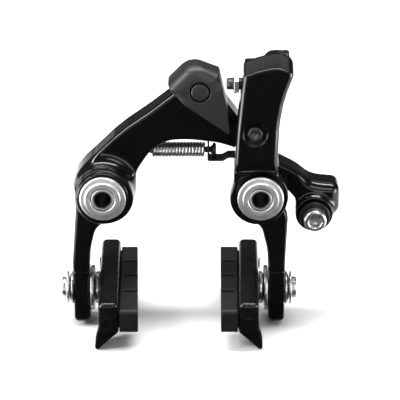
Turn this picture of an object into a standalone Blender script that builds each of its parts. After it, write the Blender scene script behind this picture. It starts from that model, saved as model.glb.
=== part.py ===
"""Direct-mount dual-pivot rim brake caliper for a road bicycle.

Frame: the origin is midway between the two mounting faces of the pivot posts.
+X runs to the arm with the cable stop, -Y is the front of the brake and +Z is up.
Lengths are in millimetres here and are scaled to metres as each object is made.
"""

import math

import bmesh
import bpy
from mathutils import Matrix, Vector

MM = 0.001
GAP = 0.3  # clearance between neighbouring pieces

# ---- driving dimensions -----------------------------------------------------------------
PIVOT_X = 31.0  # half the 62 mm between the pivot posts
POST_LENGTH = 26.0
BOLT_BORE_R = 3.1
SLEEVE_R = 4.5
FOOT_R = 7.0
FOOT_T = 1.2
CAP_R = 9.1
CAP_T = 1.4
FLAT_R = 7.0
FLAT_T = 0.6
SEAL_R = 8.8
BUSH_R = 5.7
BOSS_R = 11.0
SWELL_R = 11.3  # the bosses bulge down and inward
BOSS_BACK = -2.5
BOSS_FRONT = -22.9
REAR_BOSS_R = 7.3  # right arm, where the C-arm bridges it
ROUND = 24  # segments of round pieces

C_BACK, C_FRONT = -2.6, -14.0  # C-arm plate
R_BACK, R_FRONT = -15.6, -25.0  # right arm's plate
LEG_BACK, LEG_FRONT = -6.0, -20.0
LEG_BOTTOM = -57.2
LEG_HALF = 3.35
LEG_X = {-1: 40.65, 1: 38.15}  # distance of each leg's centre from the middle plane
LEG_SHOULDER = {-1: (41.8, 1.0), 1: (39.0, -3.6)}  # the right one stays under the C-arm

BRIDGE_R = 9.3  # the C-arm's clearance arc round the right boss
ROLLER_X, ROLLER_Z = 28.6, 27.2
ROLLER_R = 3.5
CAM_GAP = 0.2
ANCHOR_X, ANCHOR_Z = 52.8, -10.7
ANCHOR_R = 7.5
COVER_PIN_X, COVER_PIN_Z = 7.2, 42.9
STOP_Z = 45.3

SPRING_Y, SPRING_Z = -8.0, 14.2
SPRING_R = 2.55  # mean coil radius
WIRE_R = 0.6
SPRING_LEFT, SPRING_RIGHT = -12.6, 8.9
SPRING_TURNS = 16
TAB_X = 10.1
SHEET = 0.8

SHOE_Y = -13.0  # middle of the shoe and of the bolt
BOLT_Z = -44.4
BOLT_R = 3.0
BOLT_TRAVEL = 7.0
SHOE_HALF = 28.0
SHOE_TOP, SHOE_BOTTOM = -35.4, -49.7
RIM_R = 309.0
SHOE_DEPTH = 8.0
PAD_REACH = 7.3
GROOVE_DEPTH = 5.4
PAD_TOP, PAD_BOTTOM = -38.9, -49.0
SPACER = 3.85  # between the leg and the shoe, filled by two washers
TOE_IN = math.radians(1.0)  # the shoes stand closer together at the front
PAD_TAPER = math.radians(0.7)  # the rubber is thinner at the rear
PITCH = math.radians(2.8)  # the shoes rise toward the rear


# ---- collections and materials ----------------------------------------------------------
def clear_scene():
    for old in list(bpy.data.objects):
        bpy.data.objects.remove(old, do_unlink=True)


def new_collection(name):
    made = bpy.data.collections.new(name)
    bpy.context.scene.collection.children.link(made)
    return made


clear_scene()
PARTS = new_collection("rim_brake_caliper")
CUTTERS = new_collection("cutters")

LOOKS = {
    "gloss_black": ((0.012, 0.012, 0.014), 0.22, 0.0),
    "graphite": ((0.06, 0.06, 0.065), 0.5, 0.3),
    "satin_silver": ((0.75, 0.75, 0.77), 0.3, 1.0),
    "bright_steel": ((0.7, 0.7, 0.72), 0.2, 1.0),
    "spring_steel": ((0.55, 0.55, 0.57), 0.25, 1.0),
    "bronze": ((0.45, 0.3, 0.16), 0.4, 1.0),
    "black_steel": ((0.02, 0.02, 0.022), 0.4, 0.6),
    "black_plastic": ((0.015, 0.015, 0.015), 0.5, 0.0),
    "holder_black": ((0.02, 0.02, 0.022), 0.35, 0.1),
    "rubber": ((0.035, 0.035, 0.038), 0.75, 0.0),
}


def give_material(item, look):
    colour, roughness, metallic = LOOKS[look]
    made = bpy.data.materials.new(item.name + "_mat")
    made.use_nodes = True
    shader = made.node_tree.nodes["Principled BSDF"]
    shader.inputs["Base Color"].default_value = (*colour, 1.0)
    shader.inputs["Roughness"].default_value = roughness
    shader.inputs["Metallic"].default_value = metallic
    item.data.materials.clear()
    item.data.materials.append(made)


# ---- shape helpers ----------------------------------------------------------------------
def place(mesh, name, look):
    """A finished sub-part when look is given, otherwise a hidden cutter or filler."""
    item = bpy.data.objects.new(name, mesh)
    if look:
        PARTS.objects.link(item)
        give_material(item, look)
    else:
        CUTTERS.objects.link(item)
        item.hide_render = True
        item.display_type = "WIRE"
    return item


def fillet(corners, step=22.0):
    """The outline's points, each corner (a, b, radius) rounded by an arc."""
    out = []
    count = len(corners)
    for i, (a, b, radius) in enumerate(corners):
        here = Vector((a, b))
        before = Vector(corners[i - 1][:2]) - here
        after = Vector(corners[(i + 1) % count][:2]) - here
        turn = math.pi - before.angle(after)
        if radius <= 0 or turn < 0.03:
            out.append((a, b))
            continue
        reach = radius * math.tan(turn / 2)
        limit = 0.49 * min(before.length, after.length)
        if reach > limit:
            radius *= limit / reach
            reach = limit
        start = here + before.normalized() * reach
        bisector = (before.normalized() + after.normalized()).normalized()
        centre = here + bisector * (radius / math.cos(turn / 2))
        sign = 1 if before.x * after.y - before.y * after.x < 0 else -1
        arms = max(1, round(math.degrees(turn) / step))
        for k in range(arms + 1):
            spoke = (start - centre).copy()
            spoke.rotate(Matrix.Rotation(sign * turn * k / arms, 2))
            out.append(tuple(centre + spoke))
    return out


def arc(cx, cz, radius, start, end, step=15.0):
    """Points on an arc from one angle to another, in degrees."""
    count = max(1, round(abs(end - start) / step))
    return [
        (
            cx + radius * math.cos(math.radians(start + (end - start) * k / count)),
            cz + radius * math.sin(math.radians(start + (end - start) * k / count)),
        )
        for k in range(count + 1)
    ]


def ribbon(path, thickness):
    """The outline of a bent sheet that follows a path through its middle."""
    points = [Vector(p) for p in path]
    sides = ([], [])
    for i, here in enumerate(points):
        before = (here - points[i - 1]).normalized() if i else None
        after = (points[i + 1] - here).normalized() if i + 1 < len(points) else None
        along = ((before or after) + (after or before)).normalized()
        across = Vector((-along.y, along.x))
        stretch = 1 / across.dot(Vector((-(after or before).y, (after or before).x)))
        for side, sign in zip(sides, (1, -1), strict=True):
            side.append(tuple(here + across * (sign * stretch * thickness / 2)))
    return sides[0] + sides[1][::-1]


def to_mesh(curve_object):
    """A welded mesh of a curve object, in world space; the curve is removed."""
    bpy.context.view_layer.update()
    graph = bpy.context.evaluated_depsgraph_get()
    mesh = bpy.data.meshes.new_from_object(curve_object.evaluated_get(graph))
    mesh.transform(curve_object.matrix_world)
    shape = bmesh.new()
    shape.from_mesh(mesh)
    bmesh.ops.remove_doubles(shape, verts=shape.verts, dist=1e-6)
    bmesh.ops.recalc_face_normals(shape, faces=shape.faces)
    shape.to_mesh(mesh)
    shape.free()
    curve = curve_object.data
    bpy.data.objects.remove(curve_object, do_unlink=True)
    bpy.data.curves.remove(curve)
    return mesh


def slab(name, outline, low, high, look=None, along="Y", bevel=0.0, segments=1):
    """A flat outline made as thick as low..high along Y or X."""
    curve = bpy.data.curves.new(name, "CURVE")
    curve.dimensions = "2D"
    curve.fill_mode = "BOTH"
    curve.extrude = abs(high - low) / 2 * MM
    spline = curve.splines.new("POLY")
    spline.points.add(len(outline) - 1)
    for point, (a, b) in zip(spline.points, outline, strict=True):
        point.co = (a * MM, b * MM, 0.0, 1.0)
    spline.use_cyclic_u = True
    flat = bpy.data.objects.new(name, curve)
    bpy.context.scene.collection.objects.link(flat)
    middle = (low + high) / 2 * MM
    if along == "Y":
        flat.rotation_euler = (math.pi / 2, 0, 0)
        flat.location = (0, middle, 0)
    else:
        flat.rotation_euler = (math.pi / 2, 0, math.pi / 2)
        flat.location = (middle, 0, 0)
    item = place(to_mesh(flat), name, look)
    if bevel:
        round_edges(item, bevel, segments)
    return item


def round_edges(item, width, segments=1, angle=35.0):
    bevel = item.modifiers.new("round", "BEVEL")
    bevel.width = width * MM
    bevel.segments = segments
    bevel.limit_method = "ANGLE"
    bevel.angle_limit = math.radians(angle)
    bevel.use_clamp_overlap = True


DIRECTIONS = {
    "front": (math.pi / 2, 0, 0),  # the profile's height runs toward -Y
    "up": (0, 0, 0),
    "right": (0, math.pi / 2, 0),  # toward +X
    "left": (0, -math.pi / 2, 0),  # toward -X
}


def turned(name, profile, at, facing="front", look=None, steps=ROUND, closed=False):
    """A profile of (radius, height) turned round an axis that points where facing says.

    An open profile starts and ends on the axis; a closed one is a ring.
    """
    mesh = bpy.data.meshes.new(name)
    points = [(r * MM, 0.0, h * MM) for r, h in profile]
    edges = [(i, i + 1) for i in range(len(points) - 1)]
    if closed:
        edges.append((len(points) - 1, 0))
    mesh.from_pydata(points, edges, [])
    item = place(mesh, name, look)
    item.location = Vector(at) * MM
    item.rotation_euler = DIRECTIONS[facing] if isinstance(facing, str) else facing
    screw = item.modifiers.new("turn", "SCREW")
    screw.axis = "Z"
    screw.steps = steps
    screw.render_steps = steps
    screw.use_merge_vertices = True
    screw.merge_threshold = 1e-5
    return item


def rod(name, radius, low, high, at, facing="front", look=None, steps=ROUND, chamfer=0.0):
    c = chamfer
    top = [(0, high), (radius - c, high), (radius, high - c)] if c else [(0, high), (radius, high)]
    bottom = [(radius, low + c), (radius - c, low), (0, low)] if c else [(radius, low), (0, low)]
    return turned(name, top + bottom, at, facing, look, steps)


def ring(name, inner, outer, low, high, at, facing="front", look=None, steps=ROUND, chamfer=0.0):
    c = chamfer
    outline = [(inner, high), (outer - c, high), (outer, high - c)]
    outline += [(outer, low + c), (outer - c, low), (inner, low)]
    if not c:
        outline = [(inner, high), (outer, high), (outer, low), (inner, low)]
    return turned(name, outline, at, facing, look, steps, closed=True)


def box(name, low, high, look=None, bevel=0.0):
    mesh = bpy.data.meshes.new(name)
    shape = bmesh.new()
    bmesh.ops.create_cube(shape, size=1.0)
    size = Vector(high) - Vector(low)
    bmesh.ops.scale(shape, vec=size * MM, verts=shape.verts)
    bmesh.ops.translate(shape, vec=(Vector(high) + Vector(low)) / 2 * MM, verts=shape.verts)
    shape.to_mesh(mesh)
    shape.free()
    item = place(mesh, name, look)
    if bevel:
        round_edges(item, bevel)
    return item


def combine(item, other, operation):
    boolean = item.modifiers.new(operation.lower(), "BOOLEAN")
    boolean.object = other
    boolean.operation = operation
    boolean.solver = "EXACT"
    weld = item.modifiers.new("weld", "WELD")
    weld.merge_threshold = 2e-6


def join(item, *others):
    for other in others:
        combine(item, other, "UNION")


def cut(item, *others):
    for other in others:
        combine(item, other, "DIFFERENCE")


def hexagon(name, across, low, high, at, facing, look=None):
    """A prism for a nut or for a key socket, given its distance across flats."""
    return rod(name, across / math.sqrt(3), low, high, at, facing, look, steps=6)


# ---- pivots -----------------------------------------------------------------------------
def pivot(side, sign):
    at = (sign * PIVOT_X, 0, 0)
    # heights run toward the front from the mounting face at Y = 0
    turned(
        side + "_post",
        [
            (BOLT_BORE_R + 0.9, POST_LENGTH - 0.1),
            (SLEEVE_R, POST_LENGTH - 0.1),
            (SLEEVE_R, FOOT_T),
            (FOOT_R, FOOT_T),
            (FOOT_R, 0),
            (BOLT_BORE_R, 0),
            (BOLT_BORE_R, POST_LENGTH - 1.0),
        ],
        at,
        look="satin_silver",
        closed=True,
    )
    bore = SLEEVE_R + GAP
    cap_back = POST_LENGTH - FLAT_T - CAP_T
    turned(
        side + "_post_cap",
        [
            (bore, POST_LENGTH),
            (FLAT_R, POST_LENGTH),
            (FLAT_R + 0.4, POST_LENGTH - FLAT_T),
            (CAP_R - 0.3, POST_LENGTH - FLAT_T),
            (CAP_R, POST_LENGTH - FLAT_T - 0.3),
            (CAP_R, cap_back),
            (bore, cap_back),
        ],
        at,
        look="satin_silver",
        closed=True,
    )
    seal_back = -BOSS_FRONT + GAP
    ring(side + "_seal", bore, SEAL_R, seal_back, cap_back - GAP, at, look="rubber")
    washer_low = FOOT_T + GAP
    ring(side + "_thrust_washer", bore, FOOT_R, washer_low, -BOSS_BACK - GAP, at, look="bright_steel")
    middle = (-BOSS_FRONT - BOSS_BACK) / 2
    ring(side + "_bush_front", bore, BUSH_R, middle + 1, -BOSS_FRONT - GAP, at, look="bronze")
    ring(side + "_bush_rear", bore, BUSH_R, -BOSS_BACK + GAP, middle - 1, at, look="bronze")


def pivot_bore(side, sign):
    at = (sign * PIVOT_X, 0, 0)
    return rod(side + "_pivot_bore", BUSH_R + GAP, -5, 35, at)


# ---- legs and shoes ---------------------------------------------------------------------
def leg(side, sign):
    """The leg below an arm's boss, with the slot for the shoe's bolt."""
    x = LEG_X[sign]
    inner, outer = x - LEG_HALF, x + LEG_HALF
    corners = [
        (outer, LEG_BOTTOM, 1.2),
        (outer, -30, 12),
        (PIVOT_X + 11.3, -9, 12),
        (*LEG_SHOULDER[sign], 0),
        (PIVOT_X - 4, -4, 0),
        (PIVOT_X - 5, -9.6, 2),
        (inner - 3.0, -15, 7),
        (inner - 0.6, -25, 12),
        (inner, -34, 12),
        (inner, LEG_BOTTOM, 1.2),
    ]
    outline = [(sign * a, b) for a, b in fillet(corners)]
    made = slab(side + "_leg", outline, LEG_BACK, LEG_FRONT, bevel=1.0)
    half = BOLT_R + GAP
    top = arc(SHOE_Y, BOLT_Z, half, 0, 180, 22.5)
    bottom = arc(SHOE_Y, BOLT_Z - BOLT_TRAVEL, half, 180, 360, 22.5)
    slot = slab(side + "_slot", top + bottom, sign * (inner - 5), sign * (outer + 5), along="X")
    return made, slot


def curved_outline(low, high, half, sag_radius, corner):
    """A bar's side view, bent to the rim; points are (y, z)."""
    stations = [half * (k / 4 - 1) for k in range(9)]

    def drop(y):
        return -(y * y) / (2 * sag_radius)

    upper = [(SHOE_Y + y, high + drop(y), corner if abs(y) == half else 0) for y in stations]
    lower = [(SHOE_Y + y, low + drop(y), corner if abs(y) == half else 0) for y in reversed(stations)]
    return fillet(upper + lower, step=30)


def shoe_pose(sign, back, taper=0.0):
    """Toe-in and pitch of a shoe about the middle of its bolt."""
    pivot_at = Matrix.Translation(Vector((sign * back, SHOE_Y, BOLT_Z)) * MM)
    toe = Matrix.Rotation(-sign * (TOE_IN + taper), 4, "Z")
    return pivot_at @ toe @ Matrix.Rotation(PITCH, 4, "X") @ pivot_at.inverted()


def shoe(side, sign):
    x = LEG_X[sign]
    inner, outer = x - LEG_HALF, x + LEG_HALF
    back = inner - SPACER
    face = back - SHOE_DEPTH
    seat = back - 3.4
    tip = face - PAD_REACH
    outward = "right" if sign > 0 else "left"
    bolt_at = (0, SHOE_Y, BOLT_Z)
    pose = shoe_pose(sign, back)

    def posed(item):
        item.matrix_basis = pose @ item.matrix_basis
        return item

    def bar(name, low, high, half, corner, near, far, look=None, bevel=0.0):
        outline = curved_outline(low, high, half, RIM_R, corner)
        return posed(slab(side + name, outline, sign * near, sign * far, look, "X", bevel))

    holder = bar(
        "_shoe_holder", SHOE_BOTTOM, SHOE_TOP, SHOE_HALF, 2.2, face, back, "holder_black", 1.0
    )
    fin_shape = [(face + 0.6, -48), (back - 0.4, -48), (back + 1.7, -57.3), (back + 0.4, -57.8)]
    fin_shape += [(face + 1.6, -51.2)]
    fin_outline = [(sign * a, b) for a, b in fin_shape]
    join(holder, posed(slab(side + "_fin", fin_outline, -40.0, -31.0, bevel=0.5)))
    low, high = PAD_BOTTOM + 0.8, PAD_TOP - 0.8
    cut(holder, bar("_pocket", low, high, SHOE_HALF - 2.0, 1.2, face - 5, seat))
    cut(holder, posed(rod(side + "_thread_hole", BOLT_R + GAP, seat + 0.6, back + 5, bolt_at, outward)))
    screw_at = (0, SHOE_Y + 19.0, -43.6)
    cut(holder, posed(rod(side + "_screw_hole", 1.5, seat - 2, back + 5, screw_at, outward, steps=12)))

    # The pad's body fills the pocket and its face stands out beyond the holder.
    pad = bar(
        "_brake_pad", low + GAP, high - GAP, SHOE_HALF - 2.3, 1.0, face - 1.5, seat - GAP, "rubber"
    )
    join(pad, bar("_pad_face", PAD_BOTTOM, PAD_TOP, SHOE_HALF - 0.6, 1.5, tip - 2, face - GAP))
    rim_side = sorted((sign * (tip - 6), sign * tip))
    plane = box(side + "_face_plane", (rim_side[0], -60, -70), (rim_side[1], 40, -20))
    plane.matrix_basis = shoe_pose(sign, back, PAD_TAPER) @ plane.matrix_basis
    cut(pad, plane)
    groove_side = sorted((sign * (tip - 3), sign * (tip + GROOVE_DEPTH)))
    for k in range(3):
        y = SHOE_Y - 12.5 + 12.5 * k
        groove = box(f"{side}_groove_{k}", (groove_side[0], y - 0.6, -60), (groove_side[1], y + 0.6, -30))
        cut(pad, posed(groove))
    posed(
        turned(
            side + "_pad_screw",
            [
                (0, back + 0.9),
                (2.2, back + 0.9),
                (2.4, back + 0.3),
                (1.2, back + 0.3),
                (1.2, seat + 0.2),
                (0, seat + 0.2),
            ],
            screw_at,
            outward,
            "black_steel",
            steps=12,
        )
    )

    # Bolt and washers, on the slotted leg.
    head_low, head_high = outer + 3.1, outer + 5.0
    bolt = turned(
        side + "_shoe_bolt",
        [
            (0, head_high),
            (3.9, head_high),
            (4.3, head_high - 0.4),
            (4.3, head_low),
            (BOLT_R, head_low),
            (BOLT_R, seat + 1.0),
            (0, seat + 1.0),
        ],
        bolt_at,
        outward,
        "bright_steel",
        steps=20,
    )
    cut(bolt, hexagon(side + "_bolt_socket", 5.0, head_high - 2.4, head_high + 1, bolt_at, outward))
    bore = BOLT_R + GAP
    washers = {
        "_outer_washer": [
            (bore, outer + 2.85),
            (6.75, outer + 2.85),
            (6.75, outer + 2.0),
            (bore, outer + 2.0),
        ],
        "_outer_dome_washer": [
            (bore, outer + 1.75),
            (4.8, outer + 1.75),
            (6.75, outer + 0.9),
            (6.75, outer + 0.25),
            (bore, outer + 0.25),
        ],
        "_inner_cup_washer": [
            (bore, inner - 0.25),
            (9.2, inner - 0.25),
            (9.2, inner - 1.7),
            (6.2, inner - 1.7),
            (bore, inner - 1.0),
        ],
        "_inner_dome_washer": [
            (bore, inner - 1.3),
            (6.0, inner - 2.0),
            (6.6, inner - 2.4),
            (6.6, back + 0.25),
            (bore, back + 0.25),
        ],
    }
    for name, profile in washers.items():
        turned(side + name, profile, bolt_at, outward, "bright_steel", steps=20, closed=True)


# ---- left arm ---------------------------------------------------------------------------
def turned_point(x, z, pivot_x, angle):
    """A point of the XZ plane turned counter-clockwise, seen from the front."""
    dx = x - pivot_x
    return (
        pivot_x + dx * math.cos(angle) - z * math.sin(angle),
        dx * math.sin(angle) + z * math.cos(angle),
    )


def roller_path(angle):
    """The roller's centre in the left arm's frame once both arms closed by an angle."""
    x, z = turned_point(ROLLER_X, ROLLER_Z, PIVOT_X, -angle)
    return turned_point(x, z, -PIVOT_X, -angle)


def cam_edge():
    """The C-arm's rolling edge: the roller's path moved inward by its radius and the gap."""
    out = []
    for k in range(7):
        angle = math.radians(-2.0 + 2.1 * k)
        here, ahead = Vector(roller_path(angle)), Vector(roller_path(angle + 0.001))
        travel = (ahead - here).normalized()
        inward = Vector((travel.y, -travel.x))
        if inward.dot(Vector((-1, -1))) < 0:
            inward = -inward
        point = here + inward * (ROLLER_R + CAM_GAP)
        out.append((point.x, point.y))
    return out


def c_arm_outline():
    """The plate's outline, clockwise from the boss, each corner with its rounding."""
    top = [
        (-30, -6, 0),
        (-41.2, -6, 0),
        (-41.7, 3.7, 9),
        (-34.6, 13.8, 20),
        (-24.2, 24.1, 40),
        (-12.9, 32.1, 60),
        (-4.0, 39.2, 6),
        (1.6, 44.0, 6),
        (7.2, 46.6, 5),
        (13.0, 44.5, 5),
        (17.2, 36.5, 20),
        (21.6, 30.6, 10),
    ]
    cam = [(x, z, 0) for x, z in cam_edge()]
    right = [
        (45.3, 7.2, 14),
        (51.0, 2.6, 10),
        (55.0, 1.7, 10),
        (62.8, 1.0, 3.5),
        (63.0, -10.3, 4),
        (55.6, -17.8, 4),
        (46.8, -11.0, 0),
        (45.0, -4.6, 3),
    ]
    bridge = [(x, z, 0) for x, z in arc(PIVOT_X, 0, BRIDGE_R, 6, 118, 16)]
    inner = [
        (22.3, 16.6, 6),
        (14.0, 19.2, 12),
        (2.8, 20.5, 20),
        (-5.6, 20.2, 12),
        (-12.5, 15.6, 16),
        (-18.6, 6.0, 16),
        (-20.6, -4.0, 0),
    ]
    return fillet(top + cam + right + bridge + inner, step=18)


def left_arm():
    arm = slab("left_arm", c_arm_outline(), C_BACK, C_FRONT, "gloss_black", bevel=0.9)
    at = (-PIVOT_X, 0, 0)
    boss = turned(
        "left_boss",
        [
            (0, -BOSS_FRONT),
            (9.6, -BOSS_FRONT),
            (9.9, -BOSS_FRONT - 0.3),
            (9.9, -BOSS_FRONT - 2.2),
            (10.7, -BOSS_FRONT - 2.6),
            (11.0, -BOSS_FRONT - 4.6),
            (11.0, -BOSS_BACK),
            (0, -BOSS_BACK),
        ],
        at,
    )
    swell = rod("left_swell", SWELL_R, 6, 21.5, (-PIVOT_X + 0.7, 0, -1.0))
    made_leg, slot = leg("left", -1)
    anchor = rod(
        "anchor_boss", ANCHOR_R, -C_BACK - 0.2, -C_FRONT + 1.6, (ANCHOR_X, 0, ANCHOR_Z), chamfer=0.8
    )
    join(arm, boss, swell, made_leg, anchor)
    cut(arm, pivot_bore("left", -1), slot)
    cut(arm, rod("anchor_hole", 2.8, 3.5, 20, (ANCHOR_X, 0, ANCHOR_Z)))
    cut(arm, rod("cover_pin_hole", 3.3 + GAP, 0, 20, (COVER_PIN_X, 0, COVER_PIN_Z - 0.3)))
    hook_at = (0, SPRING_Y, SPRING_Z)
    cut(arm, rod("spring_anchor_hole", 1.95, -19.5, -8.0, hook_at, "right", steps=16))
    cut(arm, rod("spring_relief", 3.7, SPRING_LEFT - 0.4, 4.0, hook_at, "right", steps=20))


def anchor():
    """The bolt that clamps the cable, with its washer and grooved plate."""
    at = (ANCHOR_X, 0, ANCHOR_Z)
    face = -C_FRONT + 1.6
    ring("anchor_plate", 2.8, 5.6, face + GAP, face + 1.5, at, look="black_steel", steps=20)
    ring("anchor_washer", 2.8, 6.2, face + 1.8, face + 2.8, at, look="black_steel", steps=20)
    low, high = face + 3.1, face + 7.3
    bolt = turned(
        "anchor_bolt",
        [(0, high), (4.0, high), (4.5, high - 0.5), (4.5, low), (2.5, low), (2.5, 3.8), (0, 3.8)],
        at,
        look="bright_steel",
        steps=20,
    )
    cut(bolt, hexagon("anchor_socket", 5.0, high - 2.6, high + 1, at, "front"))


def cover():
    """The cap over the C-arm's crown, with the pin that holds it."""
    front, back = -20.0, -8.5
    shape = fillet(
        [
            (-5.5, 44.8, 1.5),
            (-2.6, 39.8, 2),
            (19.2, 24.6, 0.8),
            (17.6, 36.8, 10),
            (14.7, 49.4, 1.5),
            (6.0, 52.8, 6),
            (1.8, 52.2, 4),
            (-2.8, 48.3, 4),
        ],
        step=20,
    )
    cap = slab("link_cover", shape, front, back, "graphite", bevel=1.6)
    hollow = [
        (-20, 10),
        (-4.0, 10),
        (30, 10),
        (30, 34.0),
        (18.0, 37.0),
        (13.6, 45.0),
        (7.2, 47.4),
        (1.2, 44.7),
        (-4.4, 39.9),
        (-20, 27.2),
    ]
    cut(cap, slab("cover_hollow", hollow, C_FRONT - GAP, 0))
    at = (COVER_PIN_X, 0, COVER_PIN_Z - 0.3)
    cut(cap, rod("cover_hole", 4.0, 5, 30, at, steps=20))
    turned(
        "cover_pin",
        [(0, 20.2), (3.0, 20.2), (3.45, 19.8), (3.45, 14.4), (3.3, 14.4), (3.3, 1.6), (0, 1.6)],
        at,
        look="graphite",
        steps=20,
    )


# ---- return spring ----------------------------------------------------------------------
def spring_wire():
    points = []
    per_turn = 10
    count = SPRING_TURNS * per_turn
    for k in range(count + 1):
        turn = 2 * math.pi * k / per_turn
        x = SPRING_LEFT + WIRE_R + (SPRING_RIGHT - SPRING_LEFT - 2 * WIRE_R) * k / count
        points.append((x, SPRING_Y + SPRING_R * math.sin(turn), SPRING_Z + SPRING_R * math.cos(turn)))
    curve = bpy.data.curves.new("spring_wire", "CURVE")
    curve.dimensions = "3D"
    curve.bevel_depth = WIRE_R * MM
    curve.bevel_resolution = 1
    curve.use_fill_caps = True
    spline = curve.splines.new("POLY")
    spline.points.add(len(points) - 1)
    for point, co in zip(spline.points, points, strict=True):
        point.co = (*(Vector(co) * MM), 1.0)
    wire = bpy.data.objects.new("spring_wire", curve)
    bpy.context.scene.collection.objects.link(wire)
    place(to_mesh(wire), "return_spring", "spring_steel")


def spring_ends():
    at = (0, SPRING_Y, SPRING_Z)
    turned(
        "spring_anchor",
        [(0, -10.6), (1.2, -10.6), (1.6, -11.0), (1.6, -19.2), (0, -19.2)],
        at,
        "right",
        "black_plastic",
        steps=16,
    )
    turned(
        "spring_plug",
        [
            (0, TAB_X + 3.5),
            (2.2, TAB_X + 3.5),
            (2.5, TAB_X + 3.2),
            (2.5, TAB_X + 2.1),
            (1.2, TAB_X + 2.1),
            (1.2, 8.0),
            (1.6, 7.6),
            (1.6, 5.0),
            (0, 5.0),
        ],
        at,
        "right",
        "black_plastic",
        steps=16,
    )
    path = [(TAB_X + SHEET, 10.8), (16.2, 10.8), (18.4, 12.2), (20.8, 12.2), (25.5, 5.8)]
    bracket = slab("spring_bracket", ribbon(path, SHEET), -11.4, -4.8, "black_steel")
    hub = ring("bracket_hub", REAR_BOSS_R + GAP, REAR_BOSS_R + GAP + SHEET, 5.0, 11.2, (PIVOT_X, 0, 0))
    cut(hub, box("hub_trim", (18.0, -20.0, -15.0), (45.0, 0.0, -1.6)))
    tab = box("bracket_tab", (TAB_X, -11.1, 10.5), (TAB_X + SHEET, -5.1, 17.6), bevel=0.3)
    join(bracket, hub, tab)
    cut(bracket, rod("tab_hole", 2.1, 5, 20, at, "right", steps=16))


# ---- right arm --------------------------------------------------------------------------
CABLE_TOP = Vector((39.0, -13.6, 57.8))
CABLE_FOOT = Vector((46.6, -15.4, -8.0))


def cable_facing():
    """Rotation that points a turned shape's height along the cable, upward."""
    return (CABLE_TOP - CABLE_FOOT).to_track_quat("Z", "Y").to_euler()


def right_arm():
    front_shape = fillet(
        [
            (20.4, 9.6, 2),
            (21.2, 26.0, 40),
            (22.8, 44.0, 30),
            (24.0, 54.0, 1.2),
            (29.8, 56.2, 10),
            (36.8, 57.8, 8),
            (43.0, 55.4, 3.0),
            (43.0, 50.6, 3),
            (39.8, 41.5, 30),
            (38.0, 31.0, 30),
            (37.4, 9.6, 2),
        ],
        step=12,
    )
    arm = slab("right_arm", front_shape, R_BACK, R_FRONT, "gloss_black", bevel=1.3)
    crown_shape = fillet(
        [
            (25.2, 42.0, 2),
            (24.2, 53.4, 1.0),
            (31.0, 53.6, 3),
            (33.8, 56.8, 4),
            (39.6, 57.0, 4),
            (43.2, 52.6, 2),
            (41.4, 45.5, 4),
            (37.6, 41.0, 3),
        ],
        step=20,
    )
    crown = slab("crown", crown_shape, -10.0, R_BACK - 2, bevel=0.8)
    at = (PIVOT_X, 0, 0)
    boss = turned(
        "right_boss",
        [
            (0, -BOSS_FRONT),
            (10.2, -BOSS_FRONT),
            (BOSS_R, -BOSS_FRONT - 0.8),
            (BOSS_R, -R_BACK),
            (REAR_BOSS_R, -R_BACK),
            (REAR_BOSS_R, -BOSS_BACK),
            (0, -BOSS_BACK),
        ],
        at,
    )
    neck = slab(
        "neck",
        [(20.2, 1), (37.6, 1), (38.0, 14), (20.6, 14)],
        R_BACK,
        BOSS_FRONT + 0.4,
        bevel=0.6,
    )
    swell = rod("right_swell", SWELL_R, -R_BACK + 0.2, -BOSS_FRONT - 0.5, (PIVOT_X - 0.7, 0, -1.0))
    made_leg, slot = leg("right", 1)
    join(arm, crown, boss, swell, neck, made_leg)
    cut(arm, pivot_bore("right", 1), slot)
    cut(arm, rod("cap_clearance", CAP_R + 0.5, -BOSS_FRONT, 30, at))
    pin_at = (ROLLER_X, 0, ROLLER_Z)
    cut(arm, rod("pin_hole", 2.6 + GAP, 10, 30, pin_at, steps=20))
    cut(arm, rod("pin_counterbore", 4.6, -R_FRONT - 1.0, 30, pin_at, steps=20))
    screw_at = (0, -17.0, STOP_Z)
    cut(arm, rod("stop_hole", 2.4 + GAP, 15, 34.5, screw_at, "right", steps=16))
    facing = cable_facing()
    cut(arm, rod("ferrule_seat", 2.75, -8.0, 6, CABLE_TOP, facing, steps=16))
    cut(arm, rod("cable_hole", 1.1, -40, 0, CABLE_TOP, facing, steps=12))


def roller():
    at = (ROLLER_X, 0, ROLLER_Z)
    turned(
        "roller_pin",
        [
            (0, 24.0),
            (0.5, 24.5),
            (2.2, 24.7),
            (2.6, 24.3),
            (2.6, 15.9),
            (1.7, 15.6),
            (1.7, 1.4),
            (0, 1.4),
        ],
        at,
        look="bright_steel",
        steps=20,
    )
    bore = 1.7 + GAP
    ring("roller_spacer", bore, 3.6, 13.6, 15.3, at, look="bright_steel", steps=20)
    ring("cam_roller", bore, ROLLER_R, 3.0, 13.3, at, look="bright_steel", steps=20, chamfer=0.3)
    ring("roller_clip", bore, 3.2, 2.0, 2.7, at, look="black_steel", steps=20)


def stop_screw():
    at = (0, -17.0, STOP_Z)
    screw = turned(
        "stop_screw",
        [(0, 34.0), (2.0, 34.0), (2.4, 33.6), (2.4, 17.8), (2.0, 17.4), (0, 17.4)],
        at,
        "right",
        "bright_steel",
        steps=16,
    )
    cut(screw, hexagon("stop_key", 2.0, 10, 19.0, at, "right"))
    nut = hexagon("stop_nut", 7.0, 20.1, 22.3, at, "right", "bright_steel")
    round_edges(nut, 0.3)
    cut(nut, rod("nut_hole", 2.4 + GAP, 10, 30, at, "right", steps=16))


def cable_insert():
    ring(
        "cable_stop_insert", 1.0, 2.45, -7.6, -0.6, CABLE_TOP, cable_facing(), "black_plastic",
        16, 0.2,
    )


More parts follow.
